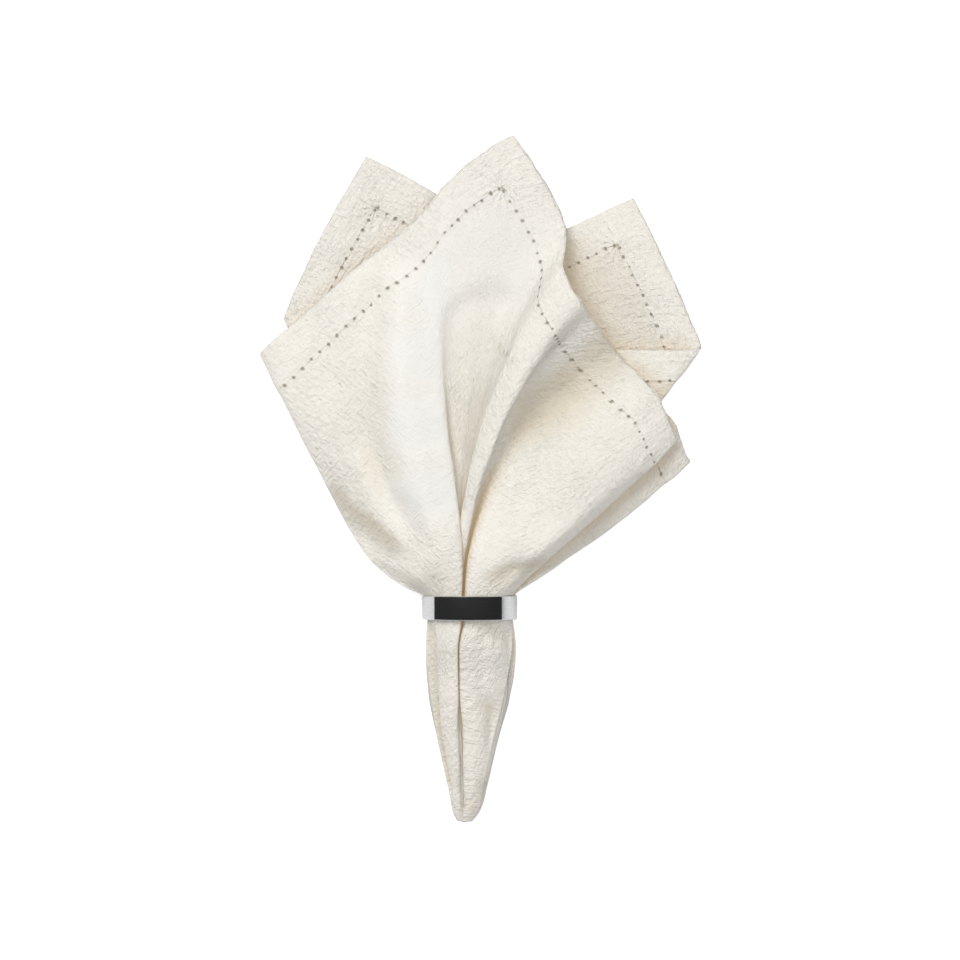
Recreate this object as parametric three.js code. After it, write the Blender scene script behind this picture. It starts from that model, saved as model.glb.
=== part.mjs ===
// A cloth napkin gathered through a ring, lying on its back on a table.
// Millimetres, +Z up. The tail points to -Y and the four corners fan out to +Y.
// The napkin is one square sheet, held at its middle: the middle of the cloth is the tip of
// the tail, and straight lines from there to the hem run through the ring and out to the fan.

import * as THREE from 'three';
import { mergeVertices } from 'three/addons/utils/BufferGeometryUtils.js';

const NAPKIN = { side: 500, sheet: 1.0 };
const RING = { outer: 47, wall: 1.5, width: 12, x: -5.4, y: -63, facets: 48 };
const RING_EDGE = 0.25;
const PLATE = { width: 11.6, thick: 0.9, gap: 0.3, halfAngle: 42.4, turn: -2.4, steps: 20 };
const COLOURS = { cloth: 0xf3f0e4, metal: 0xd4d4d4, enamel: 0x2a2a2a };

// Distances along the sheet: from the middle of the cloth to the two sides of the ring, and
// from the ring to where a flat part of the fan has settled to its own height
const REACH = { ringNear: 101, ringFar: 113, settled: 70 };
const RING_CENTRE_Z = RING.outer / 2;
// The gathered cloth in the ring stays inside this radius
const BORE_RADIUS = 21;
const FAN_ROWS = 11;
// A fold's small bend: its half width in degrees on the flat cloth, in millimetres of height
// and depth, and in degrees round the tail
const FOLD_TURN = 0.6;
const FOLD_HALF = 1.0;
const FOLD_OVAL = 2.2;
// Clockwise from the front the layers lie lower and lower up to this turn, then they climb
const LOWEST_TURN = 248;

// The tail, from its rounded tip to the ring. reach is along the cloth; y, width and height
// are those of the bundle, mid is the height of its middle, pleat and slit say how much of
// the ring's folds the section has, from 0 for a plain oval to 1.
const TAIL = [
  { reach: 3.5, y: -169.6, x: -7.8, width: 7.5, height: 6, mid: 6.2, pleat: 0, slit: 0 },
  { reach: 8, y: -166.6, x: -7.2, width: 11, height: 9.4, mid: 6.6, pleat: 0, slit: 0 },
  { reach: 15, y: -161, x: -6.8, width: 14.6, height: 12.4, mid: 7.4, pleat: 0, slit: 0.03 },
  { reach: 24, y: -152.5, x: -6.8, width: 18.4, height: 16, mid: 8.9, pleat: 0, slit: 0.16 },
  { reach: 36, y: -140, x: -6.5, width: 24.8, height: 21, mid: 11.4, pleat: 0, slit: 0.4 },
  { reach: 49, y: -124.5, x: -6.4, width: 31.4, height: 26, mid: 13.9, pleat: 0, slit: 0.65 },
  { reach: 63, y: -109, x: -6, width: 38.8, height: 31, mid: 16.5, pleat: 0, slit: 1 },
  { reach: 78, y: -93.5, x: -5.5, width: 43, height: 35.5, mid: 19, pleat: 0.2, slit: 1 },
  { reach: 91, y: -79.5, x: -5.2, width: 44, height: 39.5, mid: 21.8, pleat: 0.8, slit: 1 },
];
const TAIL_TIP = { x: -8.25, y: -170.5, z: 6.2 };

// The guide lines of the cloth, clockwise round its middle, seen from above.
// turn: direction on the flat cloth in degrees, 0 to the front corner; between: columns of
// the sheet up to the next line; oval: its place round the tail's oval in degrees;
// ring: [x, z] in the ring's bore, from the ring's axis and the table; leave, arrive and hem:
// the handles and end of the curve [x, y, z] that it follows from the ring to the hem.
// fold: 1 for a fold whose edge points right, -1 for one that points left, none for a plain
// line. Where the handles have no height, the line settles to its hem's height and lies flat.
const LINES = [
  { name: 'left fold', turn: -26, between: 2, oval: 160, fold: -1, ring: [-20.4, 27.8],
    leave: [-52, -52], arrive: [-66, -22], hem: [-109.6, 62.5, 15.2] },
  { name: 'left lobe side', turn: -19, between: 1, oval: 140, ring: [-16.6, 35.8],
    leave: [-42, -42, 41], arrive: [-52, 0, 33], hem: [-82.4, 87.2, 17] },
  { name: 'left lobe crest', turn: -12, between: 1, oval: 120, ring: [-11.4, 40.6],
    leave: [-24, -30, 46], arrive: [-40, 40, 47], hem: [-50.8, 114.4, 18] },
  { name: 'left lip', turn: -7.5, between: 1, oval: 104, slit: true, ring: [-6.8, 42.4],
    leave: [-9, -20, 45], arrive: [-16, 30, 44], hem: [-28, 133.7, 19] },
  { name: 'left valley', turn: -5, between: 1, oval: 99, slit: true, ring: [-6.4, 25],
    leave: [-8, -25, 21], arrive: [-16, 35, 14], hem: [-13.7, 145.7, 20] },
  { name: 'front corner', turn: 0, between: 2, oval: 94, slit: true, ring: [-6.1, 22.6],
    leave: [-8.4, -16, 21], arrive: [-3, 50, 13], hem: [16.25, 171, 22] },
  { name: 'bowl right', turn: 6, between: 1, oval: 89.5, slit: true, ring: [-5.3, 21.4],
    leave: [-7, -20, 20], arrive: [3, 50, 20], hem: [42.75, 131, 25] },
  { name: 'middle ridge', turn: 13, between: 1, oval: 85.5, slit: true, ring: [-4.1, 21.1],
    leave: [-6, -24, 22], arrive: [8, 46, 55], hem: [51.25, 88, 36] },
  { name: 'right valley', turn: 16.8, between: 0, oval: 81.5, slit: true, ring: [-2.9, 21.5],
    leave: [-2.5, -24, 19], arrive: [16, 30, 16], hem: [63, 71, 26] },
  { name: 'right valley side', turn: 18.6, between: 1, oval: 79, slit: true, ring: [-1.9, 23.2],
    leave: [-1, -24, 19], arrive: [19, 28, 17], hem: [69.5, 63.5, 24.5] },
  { name: 'right lip', turn: 21, between: 1, oval: 73, slit: true, ring: [-1, 42.4],
    leave: [2, -22, 43], arrive: [14, 20, 34], hem: [78.75, 54, 23] },
  { name: 'right lobe crest', turn: 28, between: 1, oval: 54, ring: [9.5, 41],
    leave: [24, -30, 45], arrive: [52, 2, 36], hem: [87.25, 42.5, 22.5] },
  { name: 'right fold', turn: 35.2, between: 1, oval: 34, fold: 1, ring: [20, 29.7],
    leave: [28, -42], arrive: [66, -14], hem: [96.8, 20, 21.6] },
  { name: 'pleat under the front', turn: 44.5, between: 0, oval: 25, fold: -1, ring: [3.6, 27.2],
    leave: [18, -25], arrive: [50, 15], hem: [80, 43, 19.6] },
  { name: 'lower right hem', turn: 51, between: 0, oval: 21, ring: [12, 26],
    leave: [24, -38], arrive: [62, 2], hem: [94.5, 31, 18.6] },
  { name: 'lower right fold', turn: 56.7, between: 1, oval: 16, fold: 1, ring: [20.7, 24.9],
    leave: [40, -50], arrive: [66, -21.5], hem: [104.3, 9.5, 17.6] },
  { name: 'pleat under the lower right', turn: 69.5, between: 1, oval: 7, fold: -1,
    ring: [3.6, 22.5], leave: [18, -20], arrive: [40, 30], hem: [58, 66, 15.6] },
  { name: 'right flap fold', turn: 79.1, between: 1, oval: -2, fold: 1, ring: [20.4, 20.2],
    leave: [34, -35], arrive: [78, 24], hem: [109.4, 65.5, 13.6] },
  { name: 'right corner', turn: 90, between: 0, oval: -6, ring: [10, 19],
    leave: [16, -20], arrive: [52, 70], hem: [76.25, 140, 12.6] },
  { name: 'beside the right corner', turn: 95, between: 1, oval: -8.5, ring: [5, 19],
    leave: [8, -20], arrive: [30, 60], hem: [41, 124.5, 12.6] },
  { name: 'pleat behind the right corner', turn: 112, between: 1, oval: -13.5, fold: -1,
    ring: [-5.5, 17.8], leave: [-13, -20], arrive: [-20, 30], hem: [-27, 80, 11.6] },
  { name: 'back upper fold', turn: 130, between: 1, oval: -22, fold: 1, ring: [18.6, 15.5],
    leave: [30, -34], arrive: [58, 14], hem: [76, 52, 9.6] },
  { name: 'back upper pleat', turn: 146, between: 1, oval: -30.5, fold: -1, ring: [-5.5, 13.2],
    leave: [-13, -20], arrive: [-20, 30], hem: [-27, 76, 7.6] },
  { name: 'back right fold', turn: 163, between: 1, oval: -39.5, fold: 1, ring: [15.4, 10.9],
    leave: [28, -36], arrive: [60, 0], hem: [78, 34, 5.6] },
  { name: 'back corner', turn: 180, between: 1, oval: -43, ring: [4, 10],
    leave: [0, -20], arrive: [8, 80], hem: [12, 148, 4.6] },
  { name: 'back pleat', turn: 202, between: 1, oval: -48, fold: -1, ring: [-3, 9],
    leave: [-12, -20], arrive: [-19, 40], hem: [-27, 95, 3.6] },
  { name: 'lowest right fold', turn: 225, between: 1, oval: -62, fold: 1, ring: [9.4, 6.6],
    leave: [24, -42], arrive: [56, -8], hem: [76, 22, 1.6] },
  { name: 'back middle', turn: 248, between: 2, oval: -94, ring: [-2.5, 3.6],
    leave: [-6, -20], arrive: [-10, 40], hem: [-8, 100, 0.5] },
  { name: 'beside the left corner', turn: 264, between: 0, oval: -108, ring: [-8, 5.6],
    leave: [-14, -20], arrive: [-22, 70], hem: [-22, 142, 0.5] },
  { name: 'left corner', turn: 270, between: 1, oval: -122, ring: [-11.5, 7.8],
    leave: [-22, -20], arrive: [-42, 80], hem: [-57, 161, 0.5] },
  { name: 'left back hem', turn: 276, between: 0, oval: -132, ring: [-14.6, 10.4],
    leave: [-32, -26], arrive: [-56, 45], hem: [-80.5, 119.5, 0.5] },
  { name: 'left back fold', turn: 282.2, between: 1, oval: 220, fold: -1, ring: [-17.8, 14],
    leave: [-46, -38], arrive: [-58, -10], hem: [-98, 81, 2] },
  { name: 'left back pleat', turn: 293.2, between: 1, oval: 207, fold: 1, ring: [-9.6, 16.6],
    leave: [-20, -20], arrive: [-28, 30], hem: [-35.5, 80, 4.9] },
  { name: 'left inner fold', turn: 306.4, between: 1, oval: 194, fold: -1, ring: [-20.4, 19.6],
    leave: [-48, -42], arrive: [-60, -15], hem: [-91, 54, 7.8] },
  { name: 'left inner pleat', turn: 320.5, between: 1, oval: 178, fold: 1, ring: [-9.6, 23.2],
    leave: [-20, -20], arrive: [-28, 30], hem: [-35.5, 75, 11.6] },
];

const radians = THREE.MathUtils.degToRad;
const smooth = (t) => THREE.MathUtils.smoothstep(t, 0, 1);
const lerp = THREE.MathUtils.lerp;

// How far the flat square reaches from its middle in a direction, 0 being one corner
function flatReach(turn) {
  const fromCorner = THREE.MathUtils.euclideanModulo(turn, 90);
  return NAPKIN.side / 2 / Math.cos(radians(fromCorner - 45));
}

// The tail's measures at a distance along the cloth, read between the rows of its table
function tailAt(reach) {
  const ring = { reach: REACH.ringNear, y: RING.y - RING.width / 2, x: RING.x,
    width: 2 * BORE_RADIUS, height: 2 * BORE_RADIUS, mid: RING_CENTRE_Z, pleat: 1, slit: 1 };
  const rows = [...TAIL, ring];
  const after = Math.max(1, rows.findIndex((row) => row.reach >= reach));
  const [a, b] = [rows[after - 1], rows[after]];
  const t = (reach - a.reach) / (b.reach - a.reach);
  return Object.fromEntries(Object.keys(a).map((key) => [key, lerp(a[key], b[key], t)]));
}

// One guide line of the sheet: where it lies at each distance along the cloth
class Guide {
  constructor(line, part) {
    this.part = part;
    this.line = line;
    this.turn = line.turn + part * FOLD_TURN;
    this.length = flatReach(line.turn) - REACH.ringFar;
    this.side = line.fold ?? 0;
    const climbing = THREE.MathUtils.euclideanModulo(line.turn, 360) > LOWEST_TURN;
    this.climb = climbing ? part : -part;
    this.inset = part === 0 ? 0 : FOLD_HALF;
    this.settles = line.leave.length === 2;
    this.curve = this.makeCurve();
  }

  ringPoint() {
    const [x, z] = this.line.ring;
    return [x - this.side * this.inset, z + this.climb * FOLD_HALF];
  }

  makeCurve() {
    const { ring: [x, z], leave, arrive, hem } = this.line;
    const start = [RING.x + x, RING.y + RING.width / 2, z];
    const height = (point) => (this.settles ? 0 : point[2]);
    const points = [start, leave, arrive, hem].map((p) => new THREE.Vector3(p[0], p[1], height(p)));
    return new THREE.CubicBezierCurve3(...points);
  }

  // In the fan: along the curve, and straight on past the hem of this line
  fanPoint(reach) {
    const t = (reach - REACH.ringFar) / this.length;
    const inside = Math.min(t, 1);
    const point = this.curve.getPointAt(inside);
    const ahead = this.curve.getTangentAt(inside);
    point.addScaledVector(ahead, (t - inside) * this.curve.getLength());
    if (this.settles) {
      const settle = smooth((reach - REACH.ringFar) / REACH.settled);
      point.z = lerp(this.line.ring[1], this.line.hem[2], settle);
    }
    point.z += this.climb * FOLD_HALF;
    const across = new THREE.Vector3(ahead.y, -ahead.x, 0).normalize();
    return point.addScaledVector(across, -this.side * this.inset);
  }

  // In the tail: between a plain oval and the ring's folded section
  tailPoint(reach) {
    const tail = tailAt(reach);
    const angle = radians(this.line.oval - this.part * FOLD_OVAL);
    const amount = this.line.slit ? tail.slit : tail.pleat;
    const x = this.line.ring[0] - this.side * this.inset * amount;
    const z = this.line.ring[1] + this.climb * FOLD_HALF;
    const folded = { x: x / BORE_RADIUS, z: (z - RING_CENTRE_Z) / BORE_RADIUS };
    return new THREE.Vector3(
      tail.x + (tail.width / 2) * lerp(Math.cos(angle), folded.x, amount),
      tail.y,
      tail.mid + (tail.height / 2) * lerp(Math.sin(angle), folded.z, amount),
    );
  }

  at(reach) {
    if (reach < REACH.ringNear) return this.tailPoint(reach);
    if (reach > REACH.ringFar) return this.fanPoint(reach);
    const [x, z] = this.ringPoint();
    const through = (reach - REACH.ringNear) / (REACH.ringFar - REACH.ringNear);
    return new THREE.Vector3(RING.x + x, RING.y + (through - 0.5) * RING.width, z);
  }
}

// A fold takes three guides side by side, so that it turns in a small bend, not a sharp edge
function makeGuides() {
  const guides = [];
  for (const line of LINES) {
    for (const part of line.fold ? [-1, 0, 1] : [0]) guides.push(new Guide(line, part));
  }
  return guides;
}

// The sheet's columns: each guide, and evenly spaced columns between one line and the next
function makeColumns(guides) {
  const columns = [];
  guides.forEach((guide, index) => {
    const next = guides[(index + 1) % guides.length];
    const lastOfLine = next.line.name !== guide.line.name;
    const count = lastOfLine ? guide.line.between : 0;
    const span = THREE.MathUtils.euclideanModulo(next.turn - guide.turn, 360);
    for (let k = 0; k <= count; k += 1) {
      const t = k / (count + 1);
      columns.push({ index, t, turn: guide.turn + span * t });
    }
  });
  return columns;
}

// A smooth curve through four guides, weighted so that close folds don't swing it about
function throughFour(points, t) {
  const curve = new THREE.CatmullRomCurve3(points, false, 'centripetal');
  return curve.getPoint((1 + t) / 3);
}

function sheetPoint(guides, column, reach) {
  const guide = (step) => guides[(column.index + step + guides.length) % guides.length];
  const points = [-1, 0, 1, 2].map((step) => guide(step).at(reach));
  // The cloth leaves a fold straight
  if (guide(0).part === 1) points[0].copy(points[1]).multiplyScalar(2).sub(points[2]);
  if (guide(1).part === -1) points[3].copy(points[2]).multiplyScalar(2).sub(points[1]);
  const point = column.t === 0 ? points[1] : throughFour(points, column.t);
  point.z = Math.max(point.z, NAPKIN.sheet / 2);
  return point;
}

// The middle surface of the cloth: rows of columns from the tip of the tail to the hem
function middleSurface() {
  const guides = makeGuides();
  const columns = makeColumns(guides);
  const rows = TAIL.map((row) => () => row.reach);
  rows.push(() => REACH.ringNear, () => REACH.ringFar);
  for (let k = 1; k <= FAN_ROWS; k += 1) {
    rows.push((turn) => lerp(REACH.ringFar, flatReach(turn), k / FAN_ROWS));
  }
  const points = [new THREE.Vector3(TAIL_TIP.x, TAIL_TIP.y, TAIL_TIP.z)];
  for (const row of rows) {
    for (const column of columns) points.push(sheetPoint(guides, column, row(column.turn)));
  }
  return { points, rows: rows.length, columns: columns.length };
}

// Triangles of the middle surface, facing out of the bundle
function middleTriangles(rows, columns) {
  const triangles = [];
  const at = (row, column) => 1 + row * columns + (column % columns);
  for (let c = 0; c < columns; c += 1) {
    triangles.push([0, at(0, c), at(0, c + 1)]);
    for (let r = 0; r + 1 < rows; r += 1) {
      const [a, b, d, e] = [at(r, c), at(r, c + 1), at(r + 1, c), at(r + 1, c + 1)];
      triangles.push([a, d, e], [a, e, b]);
    }
  }
  return triangles;
}

// The sheet: the middle surface moved half its thickness each way and closed along the hem
function napkinGeometry() {
  const { points, rows, columns } = middleSurface();
  const triangles = middleTriangles(rows, columns);
  const middle = new THREE.BufferGeometry().setFromPoints(points);
  middle.setIndex(triangles.flat());
  middle.computeVertexNormals();
  const normals = middle.getAttribute('normal');
  const half = NAPKIN.sheet / 2;
  const moved = [half, -half].flatMap((distance) => points.map((point, i) => {
    const normal = new THREE.Vector3().fromBufferAttribute(normals, i);
    const place = point.clone().addScaledVector(normal, distance);
    place.z = Math.max(place.z, 0);
    return place;
  }));
  const inner = points.length;
  const faces = [...triangles, ...triangles.map(([a, b, c]) => [a + inner, c + inner, b + inner])];
  const hem = 1 + (rows - 1) * columns;
  for (let c = 0; c < columns; c += 1) {
    const [a, b] = [hem + c, hem + ((c + 1) % columns)];
    faces.push([a, a + inner, b + inner], [a, b + inner, b]);
  }
  const geometry = new THREE.BufferGeometry().setFromPoints(moved);
  geometry.setIndex(faces.flat());
  return geometry;
}

// The band: a plain rolled ring whose edges are eased
function bandGeometry() {
  const [outer, inner, half] = [RING.outer / 2, RING.outer / 2 - RING.wall, RING.width / 2];
  const ease = RING_EDGE;
  const profile = [
    [outer, -half + ease], [outer, half - ease], [outer - ease, half], [inner + ease, half],
    [inner, half - ease], [inner, -half + ease], [inner + ease, -half], [outer - ease, -half],
    [outer, -half + ease],
  ].map(([x, y]) => new THREE.Vector2(x, y));
  const lathe = new THREE.LatheGeometry(profile, RING.facets, Math.PI / RING.facets);
  lathe.deleteAttribute('normal');
  lathe.deleteAttribute('uv');
  return mergeVertices(lathe, 1e-4);
}

// The front plate: a strip bent to the band, on the side that faces up
function plateGeometry() {
  const inner = RING.outer / 2 + PLATE.gap;
  const outer = inner + PLATE.thick;
  const [from, to] = [-1, 1].map((side) => radians(90 + side * PLATE.halfAngle - PLATE.turn));
  const shape = new THREE.Shape();
  shape.absarc(0, 0, outer, from, to, false);
  shape.absarc(0, 0, inner, to, from, true);
  const depth = PLATE.width;
  const plate = new THREE.ExtrudeGeometry(shape, { depth, bevelEnabled: false, curveSegments: PLATE.steps });
  plate.translate(0, 0, -depth / 2);
  plate.rotateX(Math.PI / 2);
  return plate;
}

function finish(color, roughness, metalness) {
  return new THREE.MeshStandardMaterial({ color, roughness, metalness, side: THREE.DoubleSide });
}

function piece(name, geometry, material) {
  const mesh = new THREE.Mesh(geometry, material);
  mesh.name = name;
  return mesh;
}

const group = new THREE.Group();
group.add(piece('napkin_cloth', napkinGeometry(), finish(COLOURS.cloth, 0.9, 0)));

const ring = new THREE.Group();
ring.position.set(RING.x, RING.y, RING_CENTRE_Z);
ring.add(piece('ring_band', bandGeometry(), finish(COLOURS.metal, 0.25, 1)));
ring.add(piece('ring_plate', plateGeometry(), finish(COLOURS.enamel, 0.35, 0)));
group.add(ring);

export default group;
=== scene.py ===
"""A hemstitched cloth napkin gathered through a ring with a dark front plate.

The napkin lies on its back on a pale table, its tail towards -Y and its corners fanned out
towards +Y. Measures are millimetres of the real thing; meshes are written in metres.
"""

import logging
import math
from dataclasses import dataclass
from enum import Enum
from typing import Iterable, Optional, Sequence

import bmesh
import bpy
import numpy as np
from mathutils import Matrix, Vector, noise
from mathutils.bvhtree import BVHTree

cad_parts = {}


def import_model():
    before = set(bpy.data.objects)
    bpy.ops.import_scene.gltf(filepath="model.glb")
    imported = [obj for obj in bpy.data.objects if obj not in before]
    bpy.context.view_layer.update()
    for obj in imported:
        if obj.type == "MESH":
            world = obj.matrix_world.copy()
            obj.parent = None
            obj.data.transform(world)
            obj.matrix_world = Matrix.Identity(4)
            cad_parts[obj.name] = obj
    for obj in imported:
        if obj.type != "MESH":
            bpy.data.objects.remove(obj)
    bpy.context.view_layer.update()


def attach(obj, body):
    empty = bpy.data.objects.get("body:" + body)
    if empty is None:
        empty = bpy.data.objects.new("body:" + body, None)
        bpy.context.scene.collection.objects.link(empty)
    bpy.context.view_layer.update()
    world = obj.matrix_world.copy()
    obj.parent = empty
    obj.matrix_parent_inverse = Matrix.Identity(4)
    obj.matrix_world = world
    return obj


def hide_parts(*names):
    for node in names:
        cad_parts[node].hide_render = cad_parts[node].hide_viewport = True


log = logging.getLogger("napkin")

MM = 0.001

Point = tuple[float, float, float]
Array = np.ndarray


class Fold(Enum):
    """Which way the edge of a fold points, seen from above."""

    NONE = 0
    LEFT = -1
    RIGHT = 1


class FormKind(Enum):
    """How a worked-in form moves the cloth; a shade moves nothing but paints shade on it, or paints
    light below 0.
    """

    DENT = -1.0
    RIDGE = 1.0
    SHADE = 0.0


# The flat cloth and how it lies


@dataclass(frozen=True)
class Guide:
    """One straight line of the flat cloth, from its middle to the hem.

    turn is its direction on the flat cloth in degrees, 0 to the front corner; step is the
    widest angle between columns up to the next guide; oval its place round the tail; ring
    its [x, z] in the ring's bore; leave, arrive and hem the handles and end of its curve in
    the fan; relief how much of the crumpling shows there; lean how far a lip of the slit
    moves sideways behind the ring.
    """

    name: str
    turn: float
    step: float
    oval: float
    ring: tuple[float, float]
    leave: tuple[float, ...]
    arrive: tuple[float, ...]
    hem: Point
    fold: Fold = Fold.NONE
    slit: bool = False
    relief: float = 0.0
    lean: float = 0.0


@dataclass(frozen=True)
class TailSection:
    """A cross-section of the tail at a distance along the cloth."""

    reach: float
    y: float
    x: float
    width: float
    height: float
    mid: float
    pleat: float
    slit: float
    deep: float


@dataclass(frozen=True)
class Form:
    """A dent or ridge along a line in plan, on the part of the cloth between two turns.

    A higher power gives it a flatter middle and a steeper rim. With a rim it lies only to
    the right of its line, as one walks along it, and starts within that many millimetres,
    in a curve, or crisply in a crease. A shade moves nothing: its depth is the strength of the
    shade it paints on the cloth, 1 at most, and below 0 it paints light instead.
    """

    name: str
    kind: FormKind
    turns: tuple[float, float]
    path: tuple[tuple[float, float], ...]
    width: float
    depth: float
    tail: bool = False
    power: float = 2.0
    rim: float = 0.0
    crisp: bool = False


TAIL_TIP: Point = (-8.25, -170.5, 6.2)

TAIL: tuple[TailSection, ...] = (
    TailSection(3.5, -169.2, -7.9, 7.8, 6.4, 6.3, 0, 0, 0),
    TailSection(8, -165.9, -7.5, 12, 9.6, 6.9, 0, 0.1, 0.05),
    TailSection(15, -160.4, -6.8, 15.6, 13, 7.8, 0, 0.5, 0.12),
    TailSection(24, -152.2, -6.8, 18.8, 16.4, 9.1, 0, 0.5, 0.16),
    TailSection(36, -140, -6.5, 24.8, 21, 11.4, 0, 0.6, 0.2),
    TailSection(49, -124.5, -6.2, 31.8, 26, 13.9, 0, 0.62, 0.28),
    TailSection(63, -109, -5.7, 39.6, 31, 16.5, 0, 0.96, 0.6),
    TailSection(78, -93.5, -5.1, 44.4, 35.5, 19, 0.2, 1, 1),
    TailSection(91, -79.5, -4.8, 45.4, 44, 22.8, 0.8, 1, 1),
    TailSection(101, -69, -5.4, 42, 42.6, 23.4, 1, 1, 1),
)

GUIDES: tuple[Guide, ...] = (
    Guide("left fold", -26, 0.8, 160, (-20.4, 27.8), (-60, -49), (-65, -24),
          (-109.6, 62.5, 15.2), fold=Fold.LEFT, relief=0.6),
    Guide("left lobe side", -19, 0.7, 140, (-16.6, 35.8), (-42, -42, 41), (-52, 0, 33),
          (-82.4, 87.2, 15.8), relief=1.0),
    Guide("left lobe crest", -12, 0.6, 120, (-11.4, 40.6), (-24, -30, 46), (-40, 40, 47),
          (-50.8, 114.4, 16.8), relief=0.8),
    Guide("left lip", -7.5, 0.4, 118, (-4.1, 42.4), (-6.5, -22, 45), (-20.5, 32, 42),
          (-28, 133.7, 19.4), slit=True, relief=0.5, lean=-1.6),
    Guide("left valley", -5, 0.5, 113, (-6.4, 38), (-12, -25, 41), (-20, 42, 34),
          (-14.2, 149.3, 23), slit=True, relief=0.5),
    Guide("front corner", 0, 0.5, 109, (-6.1, 37), (-12, -16, 41), (-8, 62, 31),
          (16.25, 171, 23), slit=True, relief=0.8),
    Guide("bowl right", 6, 0.5, 106, (-5.3, 37), (-13, -20, 42), (-3, 56, 37),
          (42.2, 125.5, 21), slit=True, relief=0.8),
    Guide("curl of the hem", 9.6, 0.5, 104.5, (-4.7, 37), (-13, -22, 45), (-3, 48, 44),
          (40.8, 105.2, 30), slit=True, relief=0.6),
    Guide("middle ridge", 13, 0.4, 103, (-4.1, 35), (-10, -24, 46), (8, 43, 49),
          (49, 89, 38), slit=True, relief=0.5),
    Guide("right valley", 16.8, 0.5, 100, (-2.9, 34), (-8, -24, 38), (-4, 34, 40),
          (54, 80.5, 32), slit=True, relief=0.4),
    Guide("right valley side", 18.6, 0.4, 97, (-1.9, 35), (-6, -24, 37), (-1, 28, 34),
          (60, 73.5, 26), slit=True, relief=0.4),
    Guide("right lip", 21, 0.6, 92, (-1.7, 42.4), (-4, -24, 42), (4, 20, 36),
          (70.5, 60.5, 18), slit=True, relief=0.6, lean=-3.0),
    Guide("right lobe crest", 28, 0.7, 70, (9.5, 41), (24, -30, 42), (53, 1, 33.5),
          (87.25, 42.5, 25.5), relief=0.9),
    Guide("right lobe shoulder", 32.8, 0.7, 52, (16.6, 36), (28, -37, 40.5), (63, -9, 32),
          (93.5, 27.6, 25.5), relief=0.7),
    Guide("right fold", 35.2, 1.5, 36, (20, 29.7), (28, -42), (66, -14), (96.8, 20, 23),
          fold=Fold.RIGHT, relief=0.5),
    Guide("pleat under the front", 44.5, 1.6, 25, (3.6, 27.2), (14, -25), (42, 12),
          (80, 43, 19.6), fold=Fold.LEFT),
    Guide("lower right hem", 51, 1.2, 21, (12, 26), (24, -38), (62, 2), (94.5, 31, 18.6),
          relief=0.5),
    Guide("lower right fold", 56.7, 2.0, 16, (20.7, 24.9), (29, -48), (62, -30),
          (104.3, 9.5, 13), fold=Fold.RIGHT, relief=0.5),
    Guide("pleat under the lower right", 69.5, 1.2, 7, (3.6, 22.5), (14, -20), (33, 27),
          (56, 65, 15.6), fold=Fold.LEFT, relief=0.4),
    Guide("right flap fold", 79.1, 0.8, -2, (20.4, 20.2), (34, -35), (78, 24),
          (109.4, 65.5, 13.6), fold=Fold.RIGHT, relief=0.6),
    Guide("side of the right corner", 84.8, 0.8, -4, (15.2, 19.6), (26, -27), (66, 46),
          (94.4, 103.5, 12.9), relief=0.7),
    Guide("right corner", 90, 0.8, -6, (10, 19), (16, -20), (52, 70), (76.25, 140, 12.6),
          relief=0.8),
    Guide("beside the right corner", 95, 1.4, -8.5, (5, 19), (8, -20), (30, 60),
          (41, 124.5, 12.6), relief=0.7),
    Guide("pleat behind the right corner", 112, 2.4, -13.5, (-5.5, 17.8), (-13, -20),
          (-24, 30), (-31, 80, 11.6), fold=Fold.LEFT),
    Guide("back upper fold", 130, 2.4, -22, (18.6, 15.5), (30, -34), (58, 14), (76, 52, 9.6),
          fold=Fold.RIGHT),
    Guide("back upper pleat", 146, 2.4, -30.5, (-5.5, 13.2), (-13, -20), (-24, 30),
          (-31, 76, 7.6), fold=Fold.LEFT),
    Guide("back right fold", 163, 2.4, -39.5, (15.4, 10.9), (28, -36), (62, -2),
          (82, 34, 5.6), fold=Fold.RIGHT),
    Guide("back corner", 180, 2.4, -43, (4, 10), (0, -20), (8, 80), (12, 148, 4.6)),
    Guide("back pleat", 202, 2.4, -48, (-3, 9), (-12, -20), (-23, 40), (-31, 95, 3.6),
          fold=Fold.LEFT),
    Guide("lowest right fold", 225, 2.4, -62, (9.4, 6.6), (24, -42), (58, -10), (80, 22, 1.6),
          fold=Fold.RIGHT),
    Guide("back middle", 248, 2.0, -94, (-2.5, 3.6), (-6, -20), (-10, 40), (-8, 100, 0.5)),
    Guide("beside the left corner", 264, 0.9, -108, (-8, 5.6), (-14, -20, 3), (-22, 70, 3),
          (-22, 142, 15), relief=0.6),
    Guide("left corner", 270, 0.8, -122, (-11.5, 7.8), (-22, -20, 3), (-42, 80, 4),
          (-57, 161, 13.5), relief=0.9),
    Guide("left back hem", 276, 0.8, -132, (-14.6, 10.4), (-32, -26, 4), (-56, 45, 2),
          (-80.5, 119.5, 12), relief=0.9),
    Guide("left back fold", 282.2, 1.8, 220, (-17.8, 14), (-46, -38), (-58, -10),
          (-98, 81, 2), fold=Fold.LEFT, relief=0.5),
    Guide("left back pleat", 293.2, 2.0, 207, (-9.6, 16.6), (-20, -20), (-28, 30),
          (-35.5, 80, 4.9), fold=Fold.RIGHT),
    Guide("left inner fold", 306.4, 2.0, 194, (-20.4, 19.6), (-48, -42), (-60, -15),
          (-91, 54, 7.8), fold=Fold.LEFT),
    Guide("left inner pleat", 320.5, 2.0, 178, (-9.6, 23.2), (-20, -20), (-28, 30),
          (-35.5, 75, 11.6), fold=Fold.RIGHT),
)

DENT, RIDGE, SHADE = FormKind.DENT, FormKind.RIDGE, FormKind.SHADE

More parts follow.
